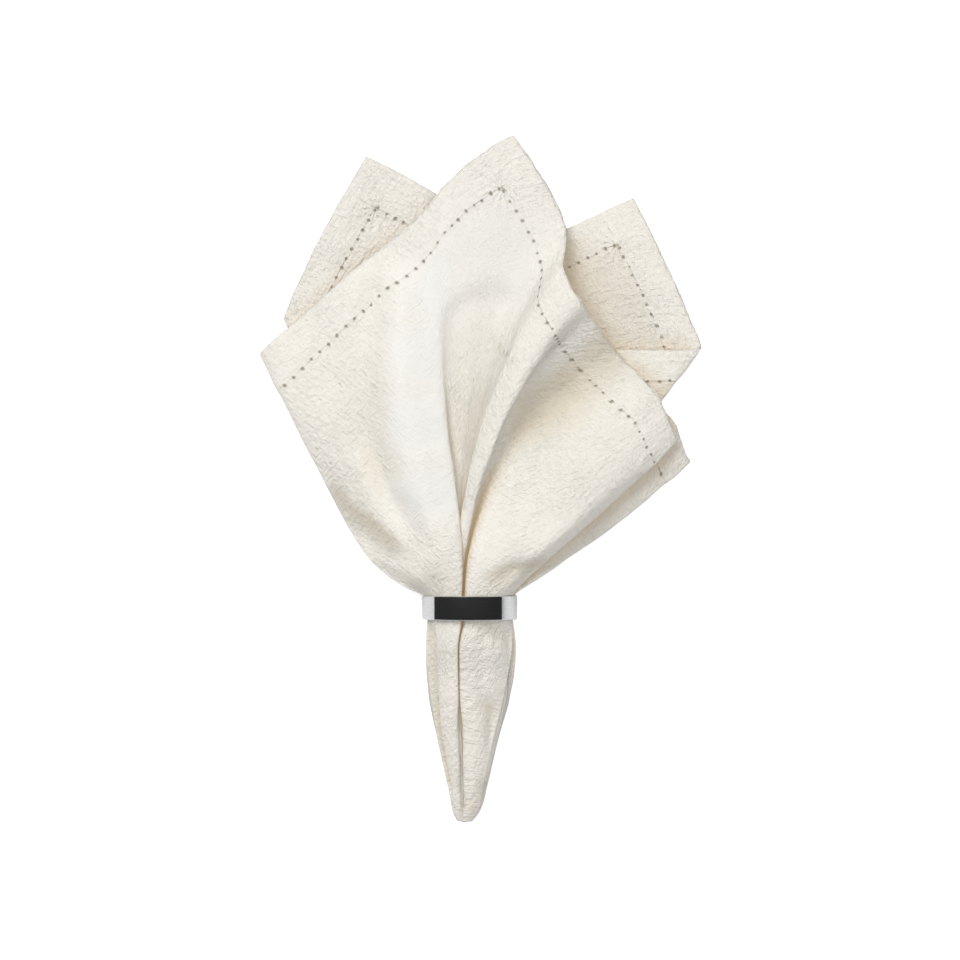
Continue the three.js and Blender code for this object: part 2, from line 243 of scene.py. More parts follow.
# Heights of the threads and the puckers of washing
THREAD_HEIGHT, PUCKER_HEIGHT = 0.45, 1.25

# Where the cloth is drawn smooth: places from the flat cloth's middle and how wide
TAUT: tuple[Point, ...] = ((206, 206, 18), (172, 208, 14), (142, 192, 12), (114, 168, 11),
                           (92, 140, 9))

FORMS: tuple[Form, ...] = (
    Form("pull into the ring, left", DENT, (-28.5, -9),
         ((-72, 4), (-63, -10), (-49.5, -19.7), (-37.2, -31), (-27.5, -41), (-23, -54)),
         16, 6.5, rim=12.0, crisp=True),
    Form("turn of the left edge", DENT, (-28.5, -19),
         ((-113, 73), (-104, 57), (-87, 28), (-71, 0), (-62, -16), (-52, -30)), 20, 2.6, rim=5.0),
    Form("roll above the pull", RIDGE, (-24, -8), ((-62, 8), (-50, -14), (-34, -33)), 6, 3.0),
    Form("bulge at the ring, left", RIDGE, (-25.4, -9), ((-52, -40), (-40, -47), (-32, -50)),
         5, 5.0),
    Form("trough left of the roll", DENT, (-24, -8),
         ((-51, 92), (-57, 61), (-55.5, 25), (-46.5, -5), (-32, -32)), 8, 6.0),
    Form("roll along the left lip", RIDGE, (-21, -6),
         ((-40, 92), (-40, 40), (-32, 0), (-20, -36)), 9, 3.0),
    Form("second dent of the left lobe", DENT, (-24, -12), ((-76, 64), (-66, 30), (-57, 4)), 9, 2.0),
    Form("arch over the bowl", DENT, (-7.5, 12.4),
         ((-10, 0), (-13.5, 24), (-17.5, 44), (-22.5, 66), (-22.5, 82), (-17.5, 91), (-8, 97),
          (3, 100), (14, 99), (25, 93)), 26, 4.0, rim=11.0),
    Form("bottom of the right valley", DENT, (14.5, 29),
         ((16, 30), (20, 34), (31, 39.5), (42, 43)), 10, 6.0),
    Form("hollow at the right of the ring", DENT, (21, 34.8),
         ((-4, -53), (1, -45.5), (13, -39.5), (28, -37.5), (42, -35.5)),
         12, 5.5, rim=6.0, crisp=True),
    Form("roll along the right edge", RIDGE, (24, 36.4),
         ((34, -33), (50, -26), (66, -13), (80, 3)), 7, 3.2),
    Form("soft dent of the right lobe", DENT, (21, 34), ((50, 40), (34, 14), (26, -6)), 9, 1.2),
    Form("crease under the ring, left", DENT, (-26, -8),
         ((-22.8, -66), (-21.3, -76.8), (-20.8, -94.6), (-19.9, -112.5), (-17.5, -130.4),
          (-14.4, -146.4), (-11.7, -161.6)), 4.5, 2.6, tail=True, rim=2.2),
    Form("soft crease of the tail, right", DENT, (21, 35),
         ((1.5, -70), (0.5, -88), (1, -110)), 3.2, 1.2, tail=True),
    Form("side of the tail, right", DENT, (21, 36),
         ((9.4, -124), (10.6, -112), (12.6, -100), (11.4, -70)), 6, 2.2, tail=True, rim=3.0),
    Form("dent of the tail", DENT, (21, 36), ((4, -112), (6.5, -118), (8, -130)), 4.4, 2.2,
         tail=True),
    Form("dent beside the ring, right", DENT, (21, 36), ((4, -71), (9, -77)), 4.4, 2.6, tail=True),
    Form("wrap at the tip", DENT, (-20, 60), ((2, -150), (-1, -156.2), (-5, -162.5), (-10, -168)),
         4, 0.9, tail=True, rim=1.2),
    # Shades move nothing: they paint shade into the cloth's colour, and light where their depth is
    # below 0
    Form("shade of the right valley", SHADE, (13.6, 30),
         ((30, 34), (42, 46), (54, 57), (66, 66), (72, 72)), 14, 0.6),
    Form("shade of the pull", SHADE, (-28.5, -9),
         ((-72, 4), (-63, -10), (-49.5, -19.7), (-37.2, -31), (-33, -35)), 7, 0.6, rim=2.5,
         crisp=True),
    Form("shade left of the ring", SHADE, (-27, -7), ((-31, -51), (-21, -47), (-12, -52)), 6, 0.25),
    Form("shade right of the ring", SHADE, (20, 36),
         ((-4, -53), (1, -45.5), (13, -39.5), (28, -37.5), (44, -34)), 8, 0.5, rim=3.0,
         crisp=True),
    Form("shade of the bowl", SHADE, (-6, 9), ((4, 125), (-4, 84), (-8, 44)), 22, 0.1),
    Form("shade low on the left lobe", SHADE, (-26, -11),
         ((-58, 52), (-56, 20), (-52, -6)), 9, 0.12),
    Form("light on the middle ridge", SHADE, (5, 17.5), ((-7, 12), (4, 40), (22, 66), (44, 84)),
         13, -0.5),
    Form("light on the flank of the ridge", SHADE, (13, 20.5),
         ((4, 10), (13, 34), (29, 56), (46, 74)), 7, -0.35),
    Form("light in the throat", SHADE, (-8.5, 14), ((-9, -26), (-9.5, 4)), 8, -0.6),
    Form("light on the left corner", SHADE, (-100, -74),
         ((-104, 58), (-57, 103), (-20, 137)), 26, -0.8),
    Form("shade of the right corner", SHADE, (74, 104), ((44, 84), (43, 106), (36, 128)), 5, 0.3),
    Form("shade of the dent of the tail", SHADE, (21, 36), ((3.5, -112), (7, -118), (8, -128)), 5, 0.4,
         tail=True),
    Form("shade beside the ring, right", SHADE, (21, 36), ((4, -71), (9, -77)), 5, 0.3,
         tail=True),
    Form("shade left along the tail", SHADE, (-30, -8),
         ((-25, -72), (-24, -95), (-22, -116), (-17.5, -138)), 2.6, 0.32, tail=True),
    Form("shade in the slit", SHADE, (-12, 27), ((-9.6, -118), (-9.8, -164)), 1.5, 0.5,
         tail=True),
    Form("shade of the wrap", SHADE, (-20, 60), ((1, -152), (-2, -158), (-5, -163)), 2.6, 0.4,
         tail=True),
)


# Small numeric helpers


def smooth(t: Array) -> Array:
    """A smooth step from 0 to 1."""
    t = np.clip(t, 0, 1)
    return t * t * (3 - 2 * t)


def through(knots: Array, values: Array, at: Array) -> Array:
    """Reads a smooth curve through the given values.

    Args:
        knots: rising places of the values.
        values: the values, one row per knot.
        at: places to read.

    Returns:
        The values there, by a cubic whose slopes are the mean of the steps on each side.
    """
    steps = np.diff(values, axis=0) / np.diff(knots)[:, None]
    slopes = np.vstack([steps[:1], (steps[1:] + steps[:-1]) / 2, steps[-1:]])
    i = np.clip(np.searchsorted(knots, at) - 1, 0, len(knots) - 2)
    span = (knots[i + 1] - knots[i])[:, None]
    t = ((at - knots[i]) / span[:, 0])[:, None]
    a, b, p, q = values[i], values[i + 1], slopes[i] * span, slopes[i + 1] * span
    return (2 * t**3 - 3 * t**2 + 1) * a + (t**3 - 2 * t**2 + t) * p \
        + (3 * t**2 - 2 * t**3) * b + (t**3 - t**2) * q


def through_four(points: Sequence[Array], t: float) -> Array:
    """Reads a centripetal curve through four points, between the middle two.

    Args:
        points: four arrays of points, row by row.
        t: 0 at the second, 1 at the third.

    Returns:
        The points of the curve.
    """
    p0, p1, p2, p3 = points
    gaps = [np.maximum(np.sqrt(np.linalg.norm(b - a, axis=1, keepdims=True)), 1e-4)
            for a, b in ((p0, p1), (p1, p2), (p2, p3))]
    d0, d1, d2 = gaps
    m1 = ((p1 - p0) / d0 - (p2 - p0) / (d0 + d1) + (p2 - p1) / d1) * d1
    m2 = ((p2 - p1) / d1 - (p3 - p1) / (d1 + d2) + (p3 - p2) / d2) * d1
    return (2 * t**3 - 3 * t**2 + 1) * p1 + (t**3 - 2 * t**2 + t) * m1 \
        + (3 * t**2 - 2 * t**3) * p2 + (t**3 - t**2) * m2


def bezier(control: Array, samples: int = 160) -> Array:
    """Points of a cubic curve with four control points."""
    t = np.linspace(0, 1, samples)[:, None]
    a, b, c, d = control
    return (1 - t) ** 3 * a + 3 * (1 - t) ** 2 * t * b + 3 * (1 - t) * t**2 * c + t**3 * d


def beside_path(points: Array, path: Iterable[tuple[float, float]]) -> tuple[Array, Array, Array]:
    """Where points lie beside a bent line, in plan.

    Args:
        points: the points.
        path: the line's corners.

    Returns:
        The distance from the line, 1 to its right or -1 to its left, and how far the nearest
        place is from the nearer end of the line.
    """
    corners = np.array(list(path), float)
    gone = np.concatenate([[0], np.cumsum(np.linalg.norm(np.diff(corners, axis=0), axis=1))])
    best, side, place = np.full(len(points), np.inf), np.ones(len(points)), np.zeros(len(points))
    for a, b, start in zip(corners[:-1], corners[1:], gone):
        way, off = b - a, points - a
        along = np.clip((off @ way) / (way @ way), 0, 1)
        away = np.linalg.norm(off - along[:, None] * way, axis=1)
        nearer = away < best
        turned = np.where(way[0] * off[:, 1] - way[1] * off[:, 0] < 0, 1.0, -1.0)
        side = np.where(nearer, turned, side)
        place = np.where(nearer, start + along * np.linalg.norm(way), place)
        best = np.minimum(best, away)
    return best, side, np.minimum(place, gone[-1] - place)


def deselect() -> None:
    """Leaves nothing selected."""
    bpy.ops.object.select_all(action="DESELECT")


# The napkin


@dataclass
class NapkinCloth:
    """The square sheet, gathered through the ring and fanned out."""

    side: float = 500.0
    cloth: float = 0.6
    hem_cloth: float = 1.2
    hem: float = 20.0
    ring_y: float = -63.0
    ring_x: float = -5.4
    ring_width: float = 12.0
    ring_mid: float = 23.5
    bore: float = 21.0
    ring_near: float = 101.0
    ring_far: float = 113.0
    settled: float = 70.0
    fold_turn: float = 0.6
    fold_half: float = 1.0
    fold_oval: float = 2.2
    lowest_turn: float = 248.0
    tail_step: float = 2.6
    tip_reach: float = 22.0
    fan_rows: int = 64
    crumpling: float = 1.5
    ruffling: float = 0.45
    pulling: float = 2.4
    wandering: float = 1.1
    # Strength of the painted shade on the single-layer part of the right corner's panel
    right_corner_shade: float = 0.2
    seed: int = 7
    # Rays and their reach for the mask of the shade and glow painted into the folds
    rays: int = 20
    far: float = 60.0

    def flat_reach(self, turn: float) -> float:
        """How far the flat square reaches from its middle in a direction."""
        return self.side / 2 / math.cos(math.radians((turn % 90) - 45))

    def parts(self) -> list[tuple[Guide, int]]:
        """The guides, three side by side where the cloth folds."""
        return [(guide, part) for guide in GUIDES
                for part in ((-1, 0, 1) if guide.fold is not Fold.NONE else (0,))]

    def turn_of(self, guide: Guide, part: int) -> float:
        """The direction of one line of a guide."""
        return guide.turn + part * self.fold_turn

    def climb(self, guide: Guide, part: int) -> float:
        """How a fold's side lines lie above or below its edge."""
        return float(part if guide.turn % 360 > self.lowest_turn else -part)

    def in_tail(self, guide: Guide, part: int, reach: Array) -> Array:
        """A guide's points between the tip and the ring.

        Args:
            guide: the line of the cloth.
            part: -1, 0 or 1, its place across the fold.
            reach: distances along the cloth.

        Returns:
            Points, one row per distance.
        """
        rows = np.array([[s.y, s.x, s.width, s.height, s.mid, s.pleat, s.slit, s.deep]
                         for s in TAIL])
        knots = np.array([s.reach for s in TAIL])
        y, x, width, height, mid, pleat, slit, deep = through(knots, rows, reach).T
        amount = np.clip(slit if guide.slit else pleat, 0, 1)
        sunk = np.clip(deep, 0, 1) if guide.slit and not guide.lean else amount
        lean = guide.lean * smooth((self.ring_near - reach) / 12)
        angle = math.radians(guide.oval - part * self.fold_oval)
        inset = guide.fold.value * abs(part) * self.fold_half * amount
        fx = (guide.ring[0] + lean - inset) / self.bore
        fz = (guide.ring[1] + self.climb(guide, part) * self.fold_half - self.ring_mid) / self.bore
        return np.stack([
            x + width / 2 * (math.cos(angle) * (1 - amount) + fx * amount),
            y,
            mid + height / 2 * (math.sin(angle) * (1 - sunk) + fz * sunk),
        ], axis=1)

    def in_fan(self, guide: Guide, part: int, reach: Array) -> Array:
        """A guide's points past the ring, along its curve and straight on past its hem."""
        flat = len(guide.leave) == 2
        start = (self.ring_x + guide.ring[0], self.ring_y + self.ring_width / 2, guide.ring[1])
        control = np.array([[*p[:2], 0 if flat else p[2]]
                            for p in (start, guide.leave, guide.arrive, guide.hem)], float)
        curve = bezier(control)
        lengths = np.concatenate([[0], np.cumsum(np.linalg.norm(np.diff(curve, axis=0), axis=1))])
        length = self.flat_reach(guide.turn) - self.ring_far
        t = (reach - self.ring_far) / length
        place = np.minimum(t, 1) * lengths[-1]
        point = np.stack([np.interp(place, lengths, curve[:, k]) for k in range(3)], axis=1)
        slope = np.gradient(curve, axis=0)
        slope /= np.linalg.norm(slope, axis=1, keepdims=True)
        ahead = np.stack([np.interp(place, lengths, slope[:, k]) for k in range(3)], axis=1)
        point += ahead * ((t - np.minimum(t, 1)) * lengths[-1])[:, None]
        if flat:
            settle = smooth((reach - self.ring_far) / self.settled)
            point[:, 2] = guide.ring[1] + (guide.hem[2] - guide.ring[1]) * settle
        point[:, 2] += self.climb(guide, part) * self.fold_half
        across = np.stack([ahead[:, 1], -ahead[:, 0]], axis=1)
        across /= np.maximum(np.linalg.norm(across, axis=1, keepdims=True), 1e-6)
        point[:, :2] -= across * guide.fold.value * abs(part) * self.fold_half
        return point

    def along(self, guide: Guide, part: int, reach: Array) -> Array:
        """A guide's points at any distances from the middle of the cloth."""
        x = guide.ring[0] - guide.fold.value * abs(part) * self.fold_half
        z = guide.ring[1] + self.climb(guide, part) * self.fold_half
        through_ring = (reach - self.ring_near) / (self.ring_far - self.ring_near)
        points = np.stack([np.full_like(reach, self.ring_x + x),
                           self.ring_y + (through_ring - 0.5) * self.ring_width,
                           np.full_like(reach, z)], axis=1)
        tail, fan = reach < self.ring_near, reach > self.ring_far
        points[tail] = self.in_tail(guide, part, reach[tail])
        points[fan] = self.in_fan(guide, part, reach[fan])
        return points

    def columns(self) -> list[tuple[int, float, float, float]]:
        """The sheet's columns: line number, share of the way to the next, turn and relief."""
        parts = self.parts()
        made = []
        for i, (guide, part) in enumerate(parts):
            after, after_part = parts[(i + 1) % len(parts)]
            turn = self.turn_of(guide, part)
            span = (self.turn_of(after, after_part) - turn) % 360
            count = 3 if after is guide else max(1, round(span / guide.step))
            for k in range(count):
                t = k / count
                relief = guide.relief + (after.relief - guide.relief) * t
                made.append((i, t, turn + span * t, relief))
        return made

    def reaches(self, turn: float) -> Array:
        """Distances along the cloth at which one column has its points."""
        tip = np.linspace(2.5, self.tip_reach, 20, endpoint=False)
        tail = np.linspace(self.tip_reach, self.ring_near,
                           round((self.ring_near - self.tip_reach) / self.tail_step))
        ring = np.linspace(self.ring_near, self.ring_far, 5)[1:]
        fan = np.linspace(self.ring_far, self.flat_reach(turn), self.fan_rows + 1)[1:]
        return np.concatenate([tip, tail, ring, fan])

    def surface(self) -> tuple[Array, Array, Array]:
        """The middle surface of the cloth.

        Returns:
            Points as rows by columns, flat places in millimetres, and relief of each point.
        """
        parts, columns = self.parts(), self.columns()
        grid, flat, relief = [], [], []
        for index, t, turn, amount in columns:
            reach = self.reaches(turn)
            near = [parts[(index + k) % len(parts)] for k in (-1, 0, 1, 2)]
            points = [self.along(guide, part, reach) for guide, part in near]
            if near[1][1] == 1:
                points[0] = 2 * points[1] - points[2]
            if near[2][1] == -1:
                points[3] = 2 * points[2] - points[1]
            grid.append(points[1] if t == 0 else through_four(points, t))
            angle = math.radians(45 - turn)
            flat.append(np.stack([reach * math.cos(angle), reach * math.sin(angle)], axis=1))
            relief.append(np.full(len(reach), amount))
        return (np.stack(grid, axis=1), np.stack(flat, axis=1), np.stack(relief, axis=1))

    def eased(self, grid: Array, passes: int = 4) -> Array:
        """Rounds the bends along each column, leaving the hem where it is."""
        for _ in range(passes):
            inner = (grid[:-2] + 2 * grid[1:-1] + grid[2:]) / 4
            grid = np.concatenate([grid[:1], inner, grid[-1:]])
        return grid

    def normals(self, grid: Array) -> Array:
        """Unit normals of the rows by columns of points, towards the inside of the gather."""
        down = np.gradient(grid, axis=0)
        across = (np.roll(grid, -1, axis=1) - np.roll(grid, 1, axis=1)) / 2
        normal = np.cross(down, across)
        return normal / np.maximum(np.linalg.norm(normal, axis=2, keepdims=True), 1e-9)

    def crumple(self, flat: Array) -> Array:
        """Unevenness of washed cloth over its flat places, about -1 to 1."""
        def at(u: float, v: float) -> float:
            """One place: broad waves, and short puckers that run along the threads."""
            broad = noise.noise(Vector((u / 36, v / 28, self.seed)))
            down = noise.noise(Vector((u / 9, v / 21, self.seed + 4.5)))
            over = noise.noise(Vector((u / 21, v / 9, self.seed + 8.5)))
            return 0.9 * broad + 0.32 * (down + over)
        return np.array([[at(*place) for place in row] for row in flat])

    def pulls(self, turns: Array, reach: Array) -> Array:
        """Long creases that run out of the ring, about -1 to 1, dying away towards the hem."""
        past = reach - self.ring_far
        share = smooth(past / 18) * np.exp(-np.maximum(past, 0) / 75)
        wave = [[noise.noise(Vector((t / 4.2, r / 85, self.seed + 20))) if s > 0.02 else 0.0
                 for t, r, s in zip(*rows)] for rows in zip(turns, reach, share)]
        return share * np.array(wave)

    def hem_ruffle(self, flat: Array) -> Array:
        """Small puckers across the drawn-thread line and the hem, about -1 to 1."""
        edge = self.side / 2 - np.abs(flat).max(axis=2)
        along = np.where(np.abs(flat[..., 0]) > np.abs(flat[..., 1]), flat[..., 1], flat[..., 0])
        line = np.exp(-(((edge - self.hem) / 6.0) ** 2))
        band = smooth((self.hem - edge) / 4)
        return line * np.sin(along / 11 * 2 * math.pi + 2.2 * np.sin(along / 37)) \
            + 0.8 * band * np.sin(along / 23 * 2 * math.pi + 2.6 * np.sin(along / 61))

    def shaped(self, grid: Array, flat: Array, relief: Array, turns: Array) -> Array:
        """The surface with its crumpling, puckers and worked-in forms.

        Args:
            grid: the points, rows by columns.
            flat: their places on the flat cloth.
            relief: how much of the crumpling shows at each.
            turns: the direction of each on the flat cloth.

        Returns:
            The moved points.
        """
        normal = self.normals(grid)
        reach = np.linalg.norm(flat, axis=2)
        tail = smooth((self.ring_near - 1 - reach) / 5)
        fan = smooth((reach - self.ring_far - 3) / 25)
        signed = (turns + 180) % 360 - 180
        amount = relief * (0.8 * tail + fan)
        move = self.crumpling * amount * self.crumple(flat) \
            + self.ruffling * relief * self.hem_ruffle(flat) \
            + self.pulling * relief * self.pulls(signed, reach)
        plan = grid[..., :2]
        rise = np.zeros(move.shape)
        for form in FORMS:
            moved = form.kind.value * form.depth * self.share_of(form, plan, signed)
            if form.tail:
                move -= moved * tail
            else:
                rise += moved * fan
        ahead = np.gradient(grid, axis=0)
        ahead /= np.maximum(np.linalg.norm(ahead, axis=2, keepdims=True), 1e-9)
        out = grid + normal * move[..., None] + ahead * self.uneven_edge(flat)[..., None]
        out[..., 2] = np.maximum(out[..., 2] + rise, self.cloth / 2)
        return out

    def share_of(self, form: Form, plan: Array, signed: Array) -> Array:
        """How much of a form each point of the sheet gets.

        Args:
            form: the form.
            plan: the points in plan, rows by columns.
            signed: the direction of each on the flat cloth, -180 to 180.

        Returns:
            0 to 1 for each point.
        """
        off, side, inside = (v.reshape(signed.shape)
                             for v in beside_path(plan.reshape(-1, 2), form.path))
        edge = np.minimum(signed - form.turns[0], form.turns[1] - signed)
        share = smooth(edge / (3.0 if form.tail else 2.4))
        if form.rim:
            ramp = np.clip(off / form.rim, 0, 1)
            share *= (ramp if form.crisp else smooth(ramp)) * (side > 0) * smooth(inside / 12)
            off = np.maximum(off - form.rim, 0)
        return share * np.exp(-((off / form.width) ** form.power))

    def painted_shade_and_light(self, grid: Array, flat: Array, turns: Array) -> Array:
        """Painted shade at each point, painted light where below 0: from its shades, and on the
        single-layer panel of the right corner under the front panel's hem.
        """
        signed = (turns + 180) % 360 - 180
        edge = self.side / 2 - np.abs(flat).max(axis=2)
        single = smooth((edge - self.hem) / 2)
        # Painted shade on the single-layer part of the right corner's panel, which lies under the
        # front panel's hem
        shade_paint = self.right_corner_shade * single * smooth((turns - 76) / 3) * smooth((97 - turns) / 3)
        for form in FORMS:
            if form.kind is SHADE:
                shade_paint = shade_paint + form.depth * self.share_of(form, grid[..., :2], signed)
        return shade_paint

    def uneven_edge(self, flat: Array) -> Array:
        """How far the hem's edge wanders from its straight line."""
        edge = self.side / 2 - np.abs(flat).max(axis=2)
        at_hem = flat[-1]
        run = np.where(np.abs(at_hem[:, 0]) > np.abs(at_hem[:, 1]), at_hem[:, 1], at_hem[:, 0])
        wave = np.array([noise.noise(Vector((r / 13, 0, self.seed + 31)))
                         + 0.5 * noise.noise(Vector((r / 5, 0, self.seed + 37))) for r in run])
        return self.wandering * wave[None, :] * smooth((24 - edge) / 20)

    def depth_in_folds(self, points: Array, faces: list, normal: Array,
                       shape: tuple[int, int]) -> Array:
        """How far each point is shut in by the cloth around it, the mask of the shade and glow painted
        into the folds.

        Args:
            points: every corner of the closed sheet, its upper side first.
            faces: the sheet's faces.
            normal: the middle surface's normals, the tip first.
            shape: rows and columns of the middle surface.

        Returns:
            0 in the open to 1 deep in a fold, for every corner.
        """
        rows, cols = shape
        tree = BVHTree.FromPolygons(points.tolist(), faces)
        turned = [2.4 * k for k in range(self.rays)]
        lean = [math.sqrt((k + 0.5) / self.rays) for k in range(self.rays)]
        at_rows, at_cols = np.arange(0, rows, 2), np.arange(0, cols, 2)
        sides = []
        for side, first in ((1.0, 1), (-1.0, 1 + len(points) // 2)):
            met = np.zeros((len(at_rows), len(at_cols)))
            for i, row in enumerate(at_rows):
                for j, col in enumerate(at_cols):
                    up = Vector(side * normal[1 + row * cols + col])
                    start = Vector(points[first + row * cols + col]) + up * 0.7
                    flat = up.orthogonal().normalized()
                    other = up.cross(flat)
                    for a, r in zip(turned, lean):
                        way = up * math.sqrt(1 - r * r) + flat * (r * math.cos(a)) \
                            + other * (r * math.sin(a))
                        if tree.ray_cast(start, way, self.far)[0] is not None:
                            met[i, j] += 1 / self.rays
            tall = np.stack([np.interp(np.arange(rows), at_rows, met[:, j])
                             for j in range(len(at_cols))], axis=1)
            wide = np.stack([np.interp(np.arange(cols), at_cols, tall[i], period=cols)
                             for i in range(rows)])
            for _ in range(2):
                wide = (np.roll(wide, 1, axis=1) + 2 * wide + np.roll(wide, -1, axis=1)) / 4
                wide[1:-1] = (wide[:-2] + 2 * wide[1:-1] + wide[2:]) / 4
            sides.append(wide)
        open_side = np.minimum(*sides)
        for wide in sides:
            wide[-3:] = open_side[-3:]
        return np.concatenate([[0.0], sides[0].ravel(), [0.0], sides[1].ravel()])

    def build(self) -> bpy.types.Object:
        """Makes the sheet as a closed mesh with the flat cloth as its UV map.

        Returns:
            The napkin's object.
        """
        grid, flat, relief = self.surface()
        turns = np.array([column[2] for column in self.columns()])[None, :] + 0 * relief
        grid = self.shaped(self.eased(grid), flat, relief, turns)
        rows, cols = grid.shape[:2]
        log.info("cloth: %d rows, %d columns", rows, cols)
        tip = np.array([TAIL_TIP])
        middle = np.concatenate([tip, grid.reshape(-1, 3)])
        normal = np.concatenate([[[0, -1, 0]], self.normals(grid).reshape(-1, 3)])
        places = np.concatenate([[[0, 0]], flat.reshape(-1, 2)])
        edge = self.side / 2 - np.abs(places).max(axis=1)
        thick = self.cloth + (self.hem_cloth - self.cloth) * smooth((self.hem + 1.5 - edge) / 3)
        half = (thick / 2)[:, None]
        both = np.concatenate([middle + normal * half, middle - normal * half])
        both[:, 2] = np.maximum(both[:, 2], 0.0)

        def at(row: int, column: int) -> int:
            return 1 + row * cols + column % cols

        out_faces = [(0, at(0, c), at(0, c + 1)) for c in range(cols)]
        out_faces += [(at(r, c), at(r + 1, c), at(r + 1, c + 1), at(r, c + 1))
                      for r in range(rows - 1) for c in range(cols)]
        inner = len(middle)
        faces = out_faces + [tuple(i + inner for i in reversed(f)) for f in out_faces]
        faces += [(at(rows - 1, c), at(rows - 1, c) + inner, at(rows - 1, c + 1) + inner,
                   at(rows - 1, c + 1)) for c in range(cols)]
        mesh = bpy.data.meshes.new("napkin_sheet")
        mesh.from_pydata((both * MM).tolist(), [], faces)
        uv = mesh.uv_layers.new(name="flat_cloth")
        loops = np.zeros(len(mesh.loops), dtype=np.int32)
        mesh.loops.foreach_get("vertex_index", loops)
        flat_uv = (np.concatenate([places, places]) / self.side + 0.5)[loops]
        uv.data.foreach_set("uv", flat_uv.astype(np.float32).ravel())
        # Painted shade and glow in the folds: how shut in each corner is, kept for the material
        depth = mesh.attributes.new("fold_shade_mask", "FLOAT", "POINT")
        shut = self.depth_in_folds(both, faces, normal, (rows, cols))
        depth.data.foreach_set("value", shut.astype(np.float32))
        # Painted shade, and painted light below 0, from the shades and the right corner's panel
        shade_paint = mesh.attributes.new("painted_shade_and_light", "FLOAT", "POINT")
        shade = np.concatenate([[0.0], self.painted_shade_and_light(grid, flat, turns).ravel()])
        shade_paint.data.foreach_set("value", np.concatenate([shade, shade]).astype(np.float32))
        mesh.shade_smooth()
        mesh.validate()
        piece = bpy.data.objects.new("napkin_sheet", mesh)
        bpy.context.scene.collection.objects.link(piece)
        return piece

    def place(self, piece: bpy.types.Object) -> None:
        """Hands the sheet to the frame in place of the plain solid."""
        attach(piece, "root")
        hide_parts("napkin_cloth")


# Finishes


